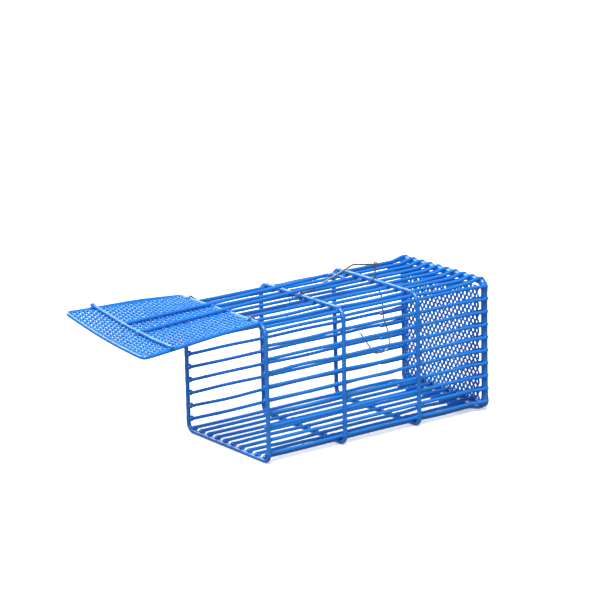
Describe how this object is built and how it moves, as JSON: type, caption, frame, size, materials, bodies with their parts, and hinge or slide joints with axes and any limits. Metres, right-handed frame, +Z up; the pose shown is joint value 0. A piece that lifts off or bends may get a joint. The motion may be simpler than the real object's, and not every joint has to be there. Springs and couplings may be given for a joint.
{
  "type": "live catch trap",
  "caption": "Wire cage trap whose mesh door is pulled shut by a coil spring and held open by a lever, a latch rod and a bait hook.",
  "frame": {"origin": "on the floor, under the middle of the object's box with the door held open", "axes": "+X from the mouth to the rear, +Y to the left seen from the mouth, +Z up"},
  "size_m": [0.3608, 0.124, 0.139],
  "materials": {
    "coated_wire": "glossy dipped plastic coating, saturated blue, with fillets at the joints",
    "coated_mesh": "glossy dipped plastic coating over expanded metal, saturated blue",
    "steel_wire": "drawn steel wire, dull grey-brown",
    "spring_steel": "coiled spring wire, dull grey"
  },
  "bodies": {
    "cage": {"front_hoop": "coated_wire", "front_middle_hoop": "coated_wire", "rear_middle_hoop": "coated_wire", "rear_hoop": "coated_wire", "rear_mesh": "coated_mesh", "hinge_ring_left": "steel_wire", "hinge_ring_right": "steel_wire", "roof_wire_01": "coated_wire", "roof_wire_02": "coated_wire", "roof_wire_03": "coated_wire", "roof_wire_04": "coated_wire", "roof_wire_05": "coated_wire", "roof_wire_06": "coated_wire", "roof_wire_07": "coated_wire", "roof_wire_08": "coated_wire", "roof_wire_09": "coated_wire", "roof_wire_10": "coated_wire", "floor_wire_01": "coated_wire", "floor_wire_02": "coated_wire", "floor_wire_03": "coated_wire", "floor_wire_04": "coated_wire", "floor_wire_05": "coated_wire", "floor_wire_06": "coated_wire", "floor_wire_07": "coated_wire", "floor_wire_08": "coated_wire", "floor_wire_09": "coated_wire", "floor_wire_10": "coated_wire", "left_wall_wire_01": "coated_wire", "left_wall_wire_02": "coated_wire", "left_wall_wire_03": "coated_wire", "left_wall_wire_04": "coated_wire", "left_wall_wire_05": "coated_wire", "left_wall_wire_06": "coated_wire", "left_wall_wire_07": "coated_wire", "left_wall_wire_08": "coated_wire", "left_wall_wire_09": "coated_wire", "left_wall_wire_10": "coated_wire", "right_wall_wire_01": "coated_wire", "right_wall_wire_02": "coated_wire", "right_wall_wire_03": "coated_wire", "right_wall_wire_04": "coated_wire", "right_wall_wire_05": "coated_wire", "right_wall_wire_06": "coated_wire", "right_wall_wire_07": "coated_wire", "right_wall_wire_08": "coated_wire", "right_wall_wire_09": "coated_wire", "right_wall_wire_10": "coated_wire"},
    "door": {"door_frame": "coated_wire", "door_mesh": "coated_mesh", "door_cross_bar": "coated_wire", "door_lever": "coated_wire"},
    "closing_spring": {"closing_spring": "spring_steel"},
    "latch_rod": {"latch_rod": "steel_wire"},
    "bait_hook": {"bait_hook": "steel_wire"}
  },
  "joints": [
    {"name": "door_hinge", "type": "hinge", "parent": "cage", "child": "door", "pos_m": [-0.06439, 0, 0.1231], "axis": [0, -1, 0], "range_deg": [-2, 84.5], "deforming": ["closing_spring"]},
    {"name": "spring_pivot", "type": "hinge", "parent": "cage", "child": "closing_spring", "pos_m": [0.01971, 0, 0.1201], "axis": [0, -1, 0], "range_deg": [-2, 46.8]},
    {"name": "latch_rod_pivot", "type": "hinge", "parent": "cage", "child": "latch_rod", "pos_m": [0.01971, 0, 0.1201], "axis": [0, -1, 0], "range_deg": [0, 165]},
    {"name": "bait_hook_pivot", "type": "hinge", "parent": "cage", "child": "bait_hook", "pos_m": [0.09971, 0, 0.1201], "axis": [0, 1, 0], "range_deg": [-4, 30]}
  ],
  "couplings": [
    {"joint": "spring_pivot", "follows": "door_hinge", "ratio": 0.5419}
  ]
}
